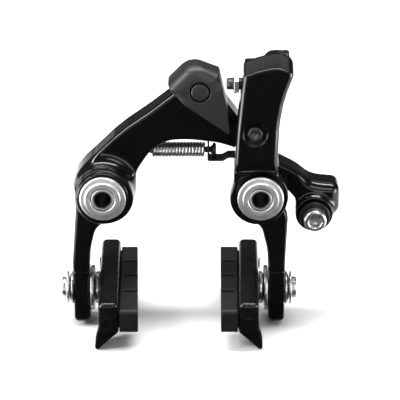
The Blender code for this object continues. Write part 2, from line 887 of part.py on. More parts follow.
# ---- build ------------------------------------------------------------------------------
for SIDE, SIGN in (("left", -1), ("right", 1)):
    pivot(SIDE, SIGN)
    shoe(SIDE, SIGN)
left_arm()
anchor()
cover()
spring_wire()
spring_ends()
right_arm()
roller()
stop_screw()
cable_insert()
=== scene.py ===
"""Looks of a direct-mount dual-pivot rim brake caliper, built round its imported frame.

Pieces are measured in millimetres and scaled by MM to the scene's metres; the floor, lights and
camera are in metres. -Y is the front of the brake.
"""

import math

import bpy
import numpy as np
from mathutils import Matrix, Vector

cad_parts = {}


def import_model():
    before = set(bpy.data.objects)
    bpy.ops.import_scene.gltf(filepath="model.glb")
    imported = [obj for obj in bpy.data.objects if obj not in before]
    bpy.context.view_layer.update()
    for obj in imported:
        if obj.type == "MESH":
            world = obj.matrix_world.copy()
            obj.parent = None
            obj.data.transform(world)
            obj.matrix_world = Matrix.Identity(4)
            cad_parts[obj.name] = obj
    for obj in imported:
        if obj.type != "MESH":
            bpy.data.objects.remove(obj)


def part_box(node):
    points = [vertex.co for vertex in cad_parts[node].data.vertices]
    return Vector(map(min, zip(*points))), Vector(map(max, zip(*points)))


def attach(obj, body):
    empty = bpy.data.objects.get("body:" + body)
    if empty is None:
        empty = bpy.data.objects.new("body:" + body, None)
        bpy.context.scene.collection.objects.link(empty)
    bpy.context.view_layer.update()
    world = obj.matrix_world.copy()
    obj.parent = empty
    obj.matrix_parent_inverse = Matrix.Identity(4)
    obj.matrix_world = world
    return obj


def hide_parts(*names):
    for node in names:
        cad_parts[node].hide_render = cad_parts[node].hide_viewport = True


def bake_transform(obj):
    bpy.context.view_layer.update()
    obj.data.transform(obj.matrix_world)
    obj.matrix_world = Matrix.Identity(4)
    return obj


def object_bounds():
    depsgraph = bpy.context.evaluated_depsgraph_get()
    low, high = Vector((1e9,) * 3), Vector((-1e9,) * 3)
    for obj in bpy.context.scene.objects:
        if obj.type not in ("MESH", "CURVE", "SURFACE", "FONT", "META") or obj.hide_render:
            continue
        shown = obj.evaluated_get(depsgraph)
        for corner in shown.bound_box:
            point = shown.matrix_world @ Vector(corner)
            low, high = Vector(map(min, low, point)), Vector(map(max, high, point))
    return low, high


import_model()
cad_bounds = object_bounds()

MM = 0.001


def linked(name, data):
    item = bpy.data.objects.new(name, data)
    bpy.context.scene.collection.objects.link(item)
    return item


# ---- places read from the frame ----------------
def node_box(name):
    low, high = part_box(name)
    return np.array(low) / MM, np.array(high) / MM


def node_centre(name):
    low, high = node_box(name)
    return (low + high) / 2


LEFT_PIVOT = node_centre("left_post_cap")
RIGHT_PIVOT = node_centre("right_post_cap")
PIVOT_X = (RIGHT_PIVOT[0] - LEFT_PIVOT[0]) / 2
POST_FRONT = node_box("left_post_cap")[0][1]
ANCHOR = node_centre("anchor_bolt")
ROLLER = node_centre("cam_roller")
COVER_PIN = node_centre("cover_pin")
SPRING = node_centre("return_spring")
STOP = node_centre("stop_screw")
BOLT_Y, BOLT_Z = node_centre("right_shoe_bolt")[1:]


# ---- solid fields ------------------------------
# Cast and forged pieces are signed distance fields on a grid: negative inside, in millimetres.
class Field:
    """A grid over a box, and the shapes that can be measured on it."""

    def __init__(self, low, high, step):
        self.low, self.step = np.array(low, float), step
        counts = np.ceil((np.array(high) - self.low) / step).astype(int) + 1
        axes = [(self.low[i] + step * np.arange(counts[i])).astype(np.float32) for i in range(3)]
        self.x = axes[0][:, None, None]
        self.y = axes[1][None, :, None]
        self.z = axes[2][None, None, :]
        self.shape = tuple(counts)

    def plate(self, outline, front, back, front_round, back_round):
        """A prism along Y with its front and back edges rounded differently."""
        ahead = self.prism(outline, front, back + 8, front_round)
        behind = self.prism(outline, front - 8, back, back_round)
        return np.maximum(ahead, behind)

    def prism(self, outline, near, far, rounding=0.0, plane="XZ"):
        """An outline made as thick as near..far."""
        if plane == "XZ":
            flat = polygon_distance(outline, self.x[:, 0, :], self.z[0])[:, None, :]
            along = self.y
        else:
            flat = polygon_distance(outline, self.y[0], self.z[0])[None]
            along = self.x
        middle, half = (near + far) / 2, abs(far - near) / 2
        return rounded_pair(flat, np.abs(along - middle) - half, rounding)

    def cylinder(self, at, radius, near, far, axis="Y", rounding=0.0):
        if axis == "Y":
            across = np.hypot(self.x - at[0], self.z - at[2])
            along = self.y
        else:
            across = np.hypot(self.y - at[1], self.z - at[2])
            along = self.x
        middle, half = (near + far) / 2, abs(far - near) / 2
        return rounded_pair(across - radius, np.abs(along - middle) - half, rounding)

    def rod(self, start, end, radius):
        """A cylinder between two points, with flat ends."""
        start, end = np.array(start, float), np.array(end, float)
        length = np.linalg.norm(end - start)
        way = (end - start) / length
        dx, dy, dz = self.x - start[0], self.y - start[1], self.z - start[2]
        along = dx * way[0] + dy * way[1] + dz * way[2]
        across = np.sqrt(np.maximum(dx**2 + dy**2 + dz**2 - along**2, 0))
        return np.maximum(across - radius, np.abs(along - length / 2) - length / 2)

    def block(self, low, high, rounding=0.0):
        low, high = np.array(low, float), np.array(high, float)
        middle, half = (low + high) / 2, (high - low) / 2 - rounding
        q = [np.abs(v - middle[i]) - half[i] for i, v in enumerate((self.x, self.y, self.z))]
        outside = np.sqrt(sum(np.maximum(v, 0) ** 2 for v in q))
        return outside + np.minimum(np.maximum(np.maximum(q[0], q[1]), q[2]), 0) - rounding


def rounded_pair(a, b, rounding):
    """Where two half-measures meet, with the edge rounded."""
    a, b = a + rounding, b + rounding
    outside = np.sqrt(np.maximum(a, 0) ** 2 + np.maximum(b, 0) ** 2)
    return outside + np.minimum(np.maximum(a, b), 0) - rounding


def polygon_distance(outline, u, v):
    """Signed distance from every (u, v) to a closed outline."""
    points = np.array(outline, np.float32)
    u, v = np.broadcast_arrays(u, v)
    nearest = np.full(u.shape, 1e9, np.float32)
    inside = np.zeros(u.shape, bool)
    for a, b in zip(points, np.roll(points, -1, axis=0), strict=True):
        edge = b - a
        du, dv = u - a[0], v - a[1]
        t = np.clip((du * edge[0] + dv * edge[1]) / max(float(edge @ edge), 1e-9), 0, 1)
        nearest = np.minimum(nearest, (du - t * edge[0]) ** 2 + (dv - t * edge[1]) ** 2)
        if a[1] != b[1]:
            crosses = (a[1] > v) != (b[1] > v)
            inside ^= crosses & (u < edge[0] * (v - a[1]) / edge[1] + a[0])
    return np.where(inside, -1, 1).astype(np.float32) * np.sqrt(nearest)


def blended(a, b, radius):
    """Union with a fillet."""
    h = np.maximum(radius - np.abs(a - b), 0) / radius
    return np.minimum(a, b) - h * h * radius / 4


def carved(a, b, radius=0.0):
    """a without b, with the cut's edge broken."""
    if not radius:
        return np.maximum(a, -b)
    h = np.maximum(radius - np.abs(a + b), 0) / radius
    return np.maximum(a, -b) + h * h * radius / 4


def surface(name, field, values):
    """The field's zero surface as a smooth mesh: one vertex for each cell that it crosses."""
    values = np.broadcast_to(values, field.shape).astype(np.float32)
    cells = np.array(field.shape) - 1
    total = np.zeros((int(np.prod(cells)), 3))
    count = np.zeros(int(np.prod(cells)))
    crossings = []
    for axis in range(3):
        low, high = [slice(None)] * 3, [slice(None)] * 3
        low[axis], high[axis] = slice(None, -1), slice(1, None)
        a, b = values[tuple(low)], values[tuple(high)]
        where = np.argwhere((a < 0) != (b < 0))
        va, vb = a[tuple(where.T)], b[tuple(where.T)]
        place = where.astype(float)
        place[:, axis] += va / (va - vb)
        others = [k for k in range(3) if k != axis]
        corner_cells = []
        for step_u, step_v in ((0, 0), (1, 0), (1, 1), (0, 1)):
            cell = where.copy()
            cell[:, others[0]] -= step_u
            cell[:, others[1]] -= step_v
            flat = (cell[:, 0] * cells[1] + cell[:, 1]) * cells[2] + cell[:, 2]
            corner_cells.append(flat)
            for k in range(3):
                total[:, k] += np.bincount(flat, weights=place[:, k], minlength=len(count))
            count += np.bincount(flat, minlength=len(count))
        crossings.append((axis, va < 0, np.stack(corner_cells, axis=1)))
    used = np.flatnonzero(count)
    index = np.full(len(count), -1)
    index[used] = np.arange(len(used))
    spots = total[used] / count[used, None]
    faces = []
    for axis, leaving, quad in crossings:
        flip = leaving if axis != 1 else ~leaving
        faces.append(np.where(flip[:, None], quad, quad[:, ::-1]))
    faces = index[np.concatenate(faces)]
    mesh = bpy.data.meshes.new(name)
    mesh.from_pydata(((field.low + spots * field.step) * MM).tolist(), [], faces.tolist())
    normals = gradient_at(values, spots)
    mesh.shade_smooth()
    mesh.normals_split_custom_set_from_vertices(normals.tolist())
    return linked(name, mesh)


def gradient_at(values, spots):
    """Unit gradients of the field at points given in grid steps."""
    base = np.minimum(np.floor(spots).astype(int), np.array(values.shape) - 2)
    part = spots - base
    normals = np.zeros_like(spots)
    for axis in range(3):
        slope = np.gradient(values, axis=axis)
        for corner in np.ndindex(2, 2, 2):
            weight = np.prod(np.where(np.array(corner) == 1, part, 1 - part), axis=1)
            at = base + np.array(corner)
            normals[:, axis] += weight * slope[at[:, 0], at[:, 1], at[:, 2]]
    return normals / np.maximum(np.linalg.norm(normals, axis=1), 1e-9)[:, None]


# ---- outlines ----------------------------------
def fillet(corners, step=9.0):
    """The outline's points, each corner (a, b, radius) rounded by an arc."""
    out = []
    count = len(corners)
    for i, (a, b, radius) in enumerate(corners):
        here = Vector((a, b))
        before = Vector(corners[i - 1][:2]) - here
        after = Vector(corners[(i + 1) % count][:2]) - here
        turn = math.pi - before.angle(after)
        if radius <= 0 or turn < 0.01:
            out.append((a, b))
            continue
        reach = radius * math.tan(turn / 2)
        limit = 0.49 * min(before.length, after.length)
        if reach > limit:
            radius *= limit / reach
            reach = limit
        start = here + before.normalized() * reach
        bisector = (before.normalized() + after.normalized()).normalized()
        centre = here + bisector * (radius / math.cos(turn / 2))
        sign = 1 if before.x * after.y - before.y * after.x < 0 else -1
        arms = max(1, round(math.degrees(turn) / step))
        for k in range(arms + 1):
            spoke = (start - centre).copy()
            spoke.rotate(Matrix.Rotation(sign * turn * k / arms, 2))
            out.append(tuple(centre + spoke))
    return out


def arc(cx, cz, radius, start, end, step=7.0):
    count = max(1, round(abs(end - start) / step))
    angles = [math.radians(start + (end - start) * k / count) for k in range(count + 1)]
    return [(cx + radius * math.cos(a), cz + radius * math.sin(a)) for a in angles]


def mirrored(outline, sign):
    return [(sign * a, b) for a, b in outline]


# ---- turned and bent pieces --------------------
FACING = {
    "front": Matrix.Rotation(math.pi / 2, 4, "X"),
    "right": Matrix.Rotation(math.pi / 2, 4, "Y"),
    "left": Matrix.Rotation(-math.pi / 2, 4, "Y"),
}


def soft_profile(profile, softness):
    """A profile of (radius, height, sides) with every inner corner rounded by a small arc."""
    out = [profile[0]]
    for before, here, after in zip(profile, profile[1:], profile[2:], strict=False):
        corner = Vector(here[:2])
        a, b = Vector(before[:2]) - corner, Vector(after[:2]) - corner
        reach = min(softness, 0.45 * a.length, 0.45 * b.length)
        start, end = corner + a.normalized() * reach, corner + b.normalized() * reach
        for k in range(5):
            t = k / 4
            place = start * (1 - t) ** 2 + corner * 2 * t * (1 - t) + end * t * t
            out.append((*place, *here[2:]))
    out.append(profile[-1])
    return out


def link_mesh(name, vertices, faces, matrix=None):
    mesh = bpy.data.meshes.new(name)
    mesh.from_pydata([tuple(c * MM for c in v) for v in vertices], [], faces)
    mesh.shade_smooth()
    piece = linked(name, mesh)
    if matrix:
        piece.matrix_world = matrix
    return piece


def polygon_reach(flat, angle, sides):
    part = 2 * math.pi / sides
    return flat / math.cos((angle % part) - part / 2)


def lathe(name, profile, at, facing="front", steps=96, ring=False, softness=0.12, sharp=50):
    """(radius, height) turned about an axis; a ring's profile closes on itself.

    A third number makes that row a polygon of so many sides, with the radius to its flats.
    """
    points = [profile[-1], *profile, profile[0]] if ring else profile
    points = soft_profile(points, softness)
    if ring:
        points = points[1:-1]
    count = len(points)
    vertices, rows = [], []
    for radius, height, *sides in points:
        if radius < 1e-6:
            rows.append([len(vertices)])
            vertices.append((0, 0, height))
            continue
        rows.append(list(range(len(vertices), len(vertices) + steps)))
        for k in range(steps):
            angle = 2 * math.pi * k / steps
            reach = polygon_reach(radius, angle, sides[0]) if sides else radius
            vertices.append((reach * math.cos(angle), reach * math.sin(angle), height))
    faces = []
    for i in range(count if ring else count - 1):
        upper, lower = rows[i], rows[(i + 1) % count]
        for k in range(steps):
            j = (k + 1) % steps
            around = [upper[k % len(upper)], lower[k % len(lower)]]
            around += [lower[j % len(lower)], upper[j % len(upper)]]
            face = list(dict.fromkeys(around))
            if len(face) > 2:
                faces.append(face)
    turn = FACING[facing] if isinstance(facing, str) else facing
    piece = link_mesh(name, vertices, faces, Matrix.Translation(Vector(at) * MM) @ turn)
    piece.data.set_sharp_from_angle(angle=math.radians(sharp))
    return piece


def tube(name, path, radius, sides=14):
    """A round wire along a path, with domed ends."""
    points = [Vector(p) for p in path]
    frames = []
    normal = (points[1] - points[0]).orthogonal().normalized()
    for i, here in enumerate(points):
        ahead = points[min(i + 1, len(points) - 1)] - points[max(i - 1, 0)]
        ahead.normalize()
        normal = (normal - ahead * normal.dot(ahead)).normalized()
        frames.append((here, ahead, normal.copy()))

    def dome(end, way, angles):
        out = end[1] * way * radius
        turns = [math.radians(a) for a in angles]
        return [(end[0] + out * math.sin(a), end, radius * math.cos(a)) for a in turns]

    rings = dome(frames[0], -1, (80, 55, 30)) + [(f[0], f, radius) for f in frames]
    rings += dome(frames[-1], 1, (30, 55, 80))
    vertices = []
    for centre, (_, ahead, normal), size in rings:
        side = ahead.cross(normal)
        for k in range(sides):
            a = 2 * math.pi * k / sides
            vertices.append(tuple(centre + (normal * math.cos(a) + side * math.sin(a)) * size))
    faces = []
    for i in range(len(rings) - 1):
        for k in range(sides):
            j = (k + 1) % sides
            faces.append((i * sides + k, i * sides + j, (i + 1) * sides + j, (i + 1) * sides + k))
    end = len(vertices) - sides
    faces.append(tuple(range(sides))[::-1])
    faces.append(tuple(range(end, end + sides)))
    return link_mesh(name, vertices, faces)


def threaded(name, radius, pitch, depth, low, high, at, facing, socket, steps=48):
    """A stud with a helical thread and a hexagonal key socket in its upper end."""
    fine = 10
    rows = int((high - low) / pitch * fine)
    vertices, faces = [(0, 0, low)], []
    heights = [low + (high - low) * i / rows for i in range(rows + 1)]
    for height in heights:
        lead = min(1.0, (height - low) / pitch, (high - height) / pitch)
        for k in range(steps):
            angle = 2 * math.pi * k / steps
            phase = (height / pitch - k / steps) % 1.0
            reach = radius - depth * (1 - 0.5 * lead) * abs(2 * phase - 1) - 0.4 * (1 - lead)
            vertices.append((reach * math.cos(angle), reach * math.sin(angle), height))
    for size, height in ((socket, high), (socket, high - 1.8)):
        for k in range(steps):
            angle = 2 * math.pi * k / steps
            reach = polygon_reach(size, angle, 6)
            vertices.append((reach * math.cos(angle), reach * math.sin(angle), height))
    vertices.append((0, 0, high - 2.3))
    total = len(heights) + 2
    for i in range(total - 1):
        for k in range(steps):
            j = (k + 1) % steps
            a, b = 1 + i * steps, 1 + (i + 1) * steps
            faces.append((a + k, a + j, b + j, b + k))
    for k in range(steps):
        j = (k + 1) % steps
        faces.append((0, 1 + j, 1 + k))
        a = 1 + (total - 1) * steps
        faces.append((a + k, a + j, len(vertices) - 1))
    turn = FACING[facing]
    piece = link_mesh(name, vertices, faces, Matrix.Translation(Vector(at) * MM) @ turn)
    piece.data.set_sharp_from_angle(angle=math.radians(40))
    return piece


def ribbon(path, thickness):
    """The outline of a bent sheet that follows a path through its middle."""
    points = [Vector(p) for p in path]
    sides = ([], [])
    for i, here in enumerate(points):
        before = (here - points[i - 1]).normalized() if i else None
        after = (points[i + 1] - here).normalized() if i + 1 < len(points) else None
        along = ((before or after) + (after or before)).normalized()
        across = Vector((-along.y, along.x))
        stretch = 1 / across.dot(Vector((-(after or before).y, (after or before).x)))
        for side, sign in zip(sides, (1, -1), strict=True):
            side.append(tuple(here + across * (sign * stretch * thickness / 2)))
    return sides[0] + sides[1][::-1]


# ---- materials ---------------------------------
class Shade:
    """A node material made step by step, on the object's own coordinates."""

    def __init__(self, name):
        self.material = bpy.data.materials.new(name)
        self.material.use_nodes = True
        self.tree = self.material.node_tree
        self.shader = self.tree.nodes["Principled BSDF"]
        self.place = self.add("ShaderNodeTexCoord").outputs["Object"]

    def add(self, kind, values=(), **settings):
        node = self.tree.nodes.new(kind)
        for key, value in settings.items():
            setattr(node, key, value)
        for key, value in dict(values).items():
            if isinstance(value, bpy.types.NodeSocket):
                self.tree.links.new(value, node.inputs[key])
            else:
                node.inputs[key].default_value = value
        return node

    def noise(self, scale, detail=3.0, rough=0.55, place=None, stretch=None):
        place = place or self.place
        if stretch:
            place = self.add("ShaderNodeMapping", {"Vector": place, "Scale": stretch}).outputs[0]
        values = {"Vector": place, "Scale": scale, "Detail": detail, "Roughness": rough}
        return self.add("ShaderNodeTexNoise", values).outputs[0]

    def ramp(self, value, low, high, to_low=0.0, to_high=1.0):
        values = {0: value, 1: low, 2: high, 3: to_low, 4: to_high}
        return self.add("ShaderNodeMapRange", values, clamp=True).outputs[0]

    def math(self, kind, a, b=0.0):
        return self.add("ShaderNodeMath", {0: a, 1: b}, operation=kind).outputs[0]

    def mix(self, factor, a, b):
        node = self.add("ShaderNodeMix", {0: factor}, data_type="RGBA")
        for socket, value in ((node.inputs[6], a), (node.inputs[7], b)):
            if isinstance(value, bpy.types.NodeSocket):
                self.tree.links.new(value, socket)
            else:
                socket.default_value = (*value, 1.0)
        return node.outputs[2]

    def bump(self, height, strength, distance, normal=None):
        values = {"Height": height, "Strength": strength, "Distance": distance * MM}
        if normal:
            values["Normal"] = normal
        return self.add("ShaderNodeBump", values).outputs[0]

    def edges(self, low, high):
        """Convex edges, where the finish wears first."""
        return self.ramp(self.add("ShaderNodeNewGeometry").outputs["Pointiness"], low, high)

    def rings(self, per_mm, strength):
        """Turning marks round the piece's own axis, as a bump."""
        parts = self.add("ShaderNodeSeparateXYZ", {0: self.place}).outputs
        flat = self.add("ShaderNodeCombineXYZ", {0: parts[0], 1: parts[1]}).outputs[0]
        radius = self.add("ShaderNodeVectorMath", {0: flat}, operation="LENGTH").outputs[1]
        spot = self.add("ShaderNodeCombineXYZ", {0: radius, 1: parts[2]}).outputs[0]
        marks = self.noise(per_mm / MM, 2.0, 0.6, place=spot)
        return marks, self.bump(marks, strength, 0.02)

    def use(self, **sockets):
        for key, value in sockets.items():
            socket = self.shader.inputs[key.replace("_", " ")]
            if isinstance(value, bpy.types.NodeSocket):
                self.tree.links.new(value, socket)
            elif isinstance(value, tuple):
                socket.default_value = (*value, 1.0)
            else:
                socket.default_value = value
        return self.material


def gloss_paint():
    """Deep black paint under clear lacquer: faint orange peel, dust nibs and hairline rubs."""
    s = Shade("arm_gloss_black")
    peel = s.noise(900, 2.0)
    nibs = s.ramp(s.noise(5200, 2.0), 0.70, 0.78)
    cloud = s.noise(120, 4.0)
    rub = s.ramp(s.noise(700, 5.0, stretch=(1.0, 1.0, 0.12)), 0.62, 0.8)
    colour = s.mix(cloud, (0.002, 0.002, 0.0023), (0.0034, 0.0034, 0.0038))
    colour = s.mix(s.math("MULTIPLY", s.edges(0.53, 0.62), 0.35), colour, (0.03, 0.03, 0.033))
    gloss = s.math("ADD", s.ramp(cloud, 0.3, 0.7, 0.15, 0.2), s.math("MULTIPLY", rub, 0.06))
    under = s.bump(peel, 0.12, 0.03)
    return s.use(
        Base_Color=colour,
        Roughness=gloss,
        Normal=s.bump(nibs, 0.1, 0.02, under),
        Specular_IOR_Level=0.4,
    )


def graphite_paint():
    """Matt dark grey finish with a fine metallic grain."""
    s = Shade("cover_graphite")
    grain = s.noise(6500, 2.0)
    cloud = s.noise(160, 4.0)
    colour = s.mix(cloud, (0.017, 0.0175, 0.02), (0.023, 0.0235, 0.026))
    colour = s.mix(s.ramp(grain, 0.6, 0.75), colour, (0.034, 0.034, 0.038))
    colour = s.mix(s.math("MULTIPLY", s.edges(0.54, 0.64), 0.5), colour, (0.06, 0.06, 0.065))
    return s.use(
        Base_Color=colour,
        Metallic=0.35,
        Roughness=s.ramp(grain, 0.3, 0.7, 0.36, 0.48),
        Normal=s.bump(grain, 0.18, 0.03),
    )


def turned_metal(name, dark, light, rough, marks, strength, metallic=1.0, scratches=0.08):
    """Machined metal with rings round its axis, stains and rubbed edges."""
    s = Shade(name)
    lines, normal = s.rings(marks, strength)
    stain = s.noise(420, 5.0)
    scratch = s.ramp(s.noise(2600, 4.0, stretch=(1.0, 0.08, 1.0)), 0.66, 0.8)
    colour = s.mix(s.ramp(stain, 0.35, 0.7), dark, light)
    gloss = s.ramp(lines, 0.3, 0.7, rough - 0.06, rough + 0.07)
    gloss = s.math("ADD", gloss, s.ramp(stain, 0.4, 0.8, 0, 0.05))
    gloss = s.math("ADD", gloss, s.math("MULTIPLY", scratch, 0.08))
    return s.use(
        Base_Color=colour,
        Metallic=metallic,
        Roughness=gloss,
        Normal=s.bump(scratch, scratches, 0.01, normal),
    )


def soft_black(name, dark, light, rough, grain, strength, specular=0.5, wear=0.3):
    """Plastic, rubber or coated steel: grained, slightly uneven, paler on worn edges."""
    s = Shade(name)
    fine = s.noise(grain, 3.0)
    cloud = s.noise(200, 5.0)
    colour = s.mix(s.ramp(cloud, 0.3, 0.7), dark, light)
    worn = s.math("MULTIPLY", s.edges(0.53, 0.63), wear)
    colour = s.mix(worn, colour, tuple(3.0 * c for c in light))
    gloss = s.ramp(s.math("ADD", fine, cloud), 0.7, 1.3, rough - 0.02, rough + 0.03)
    return s.use(
        Base_Color=colour,
        Roughness=gloss,
        Specular_IOR_Level=specular,
        Normal=s.bump(fine, strength, 0.03),
    )


# dark and light tone, roughness, marks to a millimetre, their depth, metallic, scratches
METALS = {
    "post_silver": ((0.54, 0.54, 0.55), (0.64, 0.64, 0.65), 0.4, 2.2, 0.12, 0.9),
    "bush_bronze": ((0.4, 0.27, 0.14), (0.52, 0.36, 0.2), 0.36, 5.0, 0.3),
    "washer_steel": ((0.55, 0.55, 0.56), (0.7, 0.7, 0.7), 0.3, 5.0, 0.06),
    "bolt_steel": ((0.5, 0.5, 0.51), (0.66, 0.66, 0.66), 0.3, 6.0, 0.06),
    "dark_steel": ((0.06, 0.06, 0.062), (0.1, 0.1, 0.102), 0.3, 6.0, 0.25, 0.8),
    "spring_steel": ((0.5, 0.5, 0.5), (0.58, 0.58, 0.57), 0.3, 0.3, 0.005, 1.0, 0.005),
}
# dark and light tone, roughness, grain, its depth, specular, wear on edges
BLACKS = {
    "seal_rubber": ((0.008,) * 3, (0.014,) * 3, 0.55, 2500, 0.2),
    "holder_black": ((0.002, 0.002, 0.0023), (0.0035, 0.0035, 0.0038), 0.26, 4000, 0.01, 0.4, 0.03),
    "pad_rubber": ((0.004, 0.004, 0.0042), (0.007,) * 3, 0.48, 3800, 0.2, 0.3),
    "black_steel": ((0.003,) * 3, (0.006,) * 3, 0.34, 4200, 0.1, 0.3),
    "black_plastic": ((0.003,) * 3, (0.006,) * 3, 0.4, 3000, 0.12, 0.35),
}
LOOKS = {"arm_gloss_black": gloss_paint(), "cover_graphite": graphite_paint()}
LOOKS |= {name: turned_metal(name, *values) for name, values in METALS.items()}
LOOKS |= {name: soft_black(name, *values) for name, values in BLACKS.items()}


def darken_bore_as_shade(piece, radius, look):
    """Gives the wall of a piece's own bore another material, a dark one: painted shade inside the hole.
    """
    piece.data.materials.append(LOOKS[look])
    for face in piece.data.polygons:
        if math.hypot(face.center.x, face.center.y) < radius * MM:
            face.material_index = 1


def finish(piece, look, body, *nodes, slot=None):
    """Gives a piece its material and body, and hides the CAD nodes it stands for; the slot is not used.
    """
    piece.data.materials.clear()
    piece.data.materials.append(LOOKS[look])
    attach(piece, body)
    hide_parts(*nodes)
    return piece


def turned(name, profile, at, *facing, look, body, node, slot=None, **shape):
    """A lathe piece with its finish."""
    return finish(lathe(name, profile, at, *facing, **shape), look, body, node, slot=slot)


def carve_all(body, *cuts):
    """The body without each (shape, broken edge) in turn."""
    for shape, edge in cuts:
        body = carved(body, shape, edge)
    return body


def field_round(node, step):
    low, high = node_box(node)
    return Field(low - 1, high + 1, step)


# ---- pivots ------------------------------------
BORE = 4.8
BUSH_R = 5.7
SHOULDER = -22.9  # the front of the arms' bosses


def pivot(side, sign):
    at = (sign * PIVOT_X, 0, 0)
    arm = side + "_arm"
    depth = -POST_FRONT
    post = turned(
        side + "_post_body",
        [
            (3.5, depth - 0.1), (4.3, depth - 0.1), (4.5, depth - 0.3), (4.5, 6.0), (4.42, 5.8),
            (4.42, 4.6), (4.5, 4.4), (4.5, 1.2), (6.6, 1.2), (7.0, 0.9), (7.0, 0.0), (3.4, 0.0),
            (3.1, 0.3), (3.1, depth - 0.6),
        ],
        at, ring=True,
        look="post_silver", body="posts", node=side + "_post",
    )
    # the bore's wall is made black: painted shade inside the post's hole
    darken_bore_as_shade(post, 3.6, "black_steel")
    back = depth - 2.0
    turned(
        side + "_post_flange",
        [
            (BORE, depth - 0.2), (BORE + 0.25, depth), (6.75, depth), (7.05, depth - 0.42),
            (7.6, depth - 0.56), (8.5, depth - 0.62), (8.9, depth - 0.8), (9.1, depth - 1.1),
            (9.1, back), (BORE, back),
        ],
        at, ring=True, softness=0.1,
        look="post_silver", body="posts", node=side + "_post_cap",
    )
    turned(
        side + "_dust_seal",
        [
            (BORE, back - 0.3), (8.5, back - 0.3), (8.8, back - 0.5), (8.65, back - 0.62),
            (8.8, 23.2), (BORE, 23.2),
        ],
        at, ring=True, softness=0.05,
        look="seal_rubber", body="posts", node=side + "_seal",
    )
    turned(
        side + "_thrust_ring",
        [(BORE, 2.2), (6.8, 2.2), (7.0, 2.05), (7.0, 1.65), (6.8, 1.5), (BORE, 1.5)],
        at, ring=True,
        look="washer_steel", body="posts", node=side + "_thrust_washer",
    )
    for place, low, high in (("front", 13.7, 22.6), ("rear", 2.8, 11.7)):
        turned(
            f"{side}_bush_{place}_sleeve",
            [
                (BORE + 0.2, high), (BUSH_R - 0.2, high), (BUSH_R, high - 0.2), (BUSH_R, low + 0.2),
                (BUSH_R - 0.2, low), (BORE + 0.2, low), (BORE, low + 0.2), (BORE, high - 0.2),
            ],
            at, ring=True, softness=0.05,
            look="bush_bronze", body=arm, node=f"{side}_bush_{place}",
        )


# ---- legs --------------------------------------
LEG_BACK, LEG_FRONT = -6.0, -20.0
LEG_BOTTOM = -57.2
LEG_HALF = 3.35
LEG_X = {-1: 40.65, 1: 38.15}
LEG_SHOULDER = {-1: (41.8, 1.0), 1: (39.0, -3.6)}  # the right one stays below the C-arm


def leg(field, sign):
    """The leg below a boss, its foot a little thinner, and the slot for the shoe's bolt."""
    x = LEG_X[sign]
    inner, outer = x - LEG_HALF, x + LEG_HALF
    outline = fillet([
        (outer, LEG_BOTTOM, 2.0), (outer, -30, 14), (PIVOT_X + 11.3, -9, 14),
        (*LEG_SHOULDER[sign], 0), (PIVOT_X - 4, -4, 0), (PIVOT_X - 5, -9.6, 2),
        (inner - 3.0, -15, 7), (inner - 0.6, -25, 14), (inner, -34, 14), (inner, LEG_BOTTOM, 2.0),
    ])
    made = field.prism(mirrored(outline, sign), LEG_FRONT, LEG_BACK, rounding=1.5)
    lip = field.block((sign * x - 12, -30, -75), (sign * x + 12, LEG_FRONT + 0.4, -35.2), 0.3)
    made = carved(made, lip, 1.8)
    side = arc(BOLT_Y, BOLT_Z, 3.3, 0, 180) + arc(BOLT_Y, BOLT_Z - 7.0, 3.3, 180, 360)
    slot = field.prism(side, sign * x - 9, sign * x + 9, plane="YZ")
    return made, slot


# ---- left arm ----------------------------------
C_BACK, C_FRONT = -2.6, -14.0
ROLLER_R = 3.5
CAM_GAP = 0.2


def turned_point(x, z, pivot_x, angle):
    """A point of the XZ plane turned counter-clockwise, seen from the front."""
    dx = x - pivot_x
    return (
        pivot_x + dx * math.cos(angle) - z * math.sin(angle),
        dx * math.sin(angle) + z * math.cos(angle),
    )


def cam_edge():
    """The rolling edge: the roller's path as both arms close, moved inward by its radius."""

    def roller_path(angle):
        x, z = turned_point(ROLLER[0], ROLLER[2], PIVOT_X, -angle)
        return Vector(turned_point(x, z, -PIVOT_X, -angle))

    out = []
    for k in range(14):
        angle = math.radians(-2.0 + 0.97 * k)
        here, ahead = roller_path(angle), roller_path(angle + 0.001)
        travel = (ahead - here).normalized()
        inward = Vector((travel.y, -travel.x))
        if inward.dot(Vector((-1, -1))) < 0:
            inward = -inward
        out.append(tuple(here + inward * (ROLLER_R + CAM_GAP)))
    return out


def c_arm_outline():
    """The plate's outline, clockwise from the boss, each corner with its rounding."""
    top = [
        (-30, -6, 0), (-41.2, -6, 0), (-41.7, 3.7, 9), (-34.6, 13.8, 20), (-24.2, 24.1, 40),
        (-12.9, 32.1, 60), (-4.0, 39.2, 6), (1.6, 44.0, 6), (7.2, 46.6, 5), (13.0, 44.5, 5),
        (17.2, 36.5, 20), (21.6, 30.6, 10),
    ]
    cam = [(x, z, 0) for x, z in cam_edge()]
    right = [
        (45.3, 7.2, 14), (51.0, 2.6, 10), (55.0, 1.7, 10), (62.8, 1.0, 3.5), (63.0, -10.3, 4),
        (55.6, -17.8, 4), (46.8, -11.0, 0), (45.0, -4.6, 3),
    ]
    bridge = [(x, z, 0) for x, z in arc(PIVOT_X, 0, 9.3, 6, 118)]
    inner = [
        (22.3, 16.6, 6), (14.0, 19.2, 12), (2.8, 20.5, 20), (-5.6, 20.2, 12), (-12.5, 15.6, 16),
        (-18.6, 6.0, 16), (-20.6, -4.0, 0),
    ]
    return fillet(top + cam + right + bridge + inner)


def smooth_step(value, low, high):
    t = np.clip((value - low) / (high - low), 0, 1)
    return t * t * (3 - 2 * t)


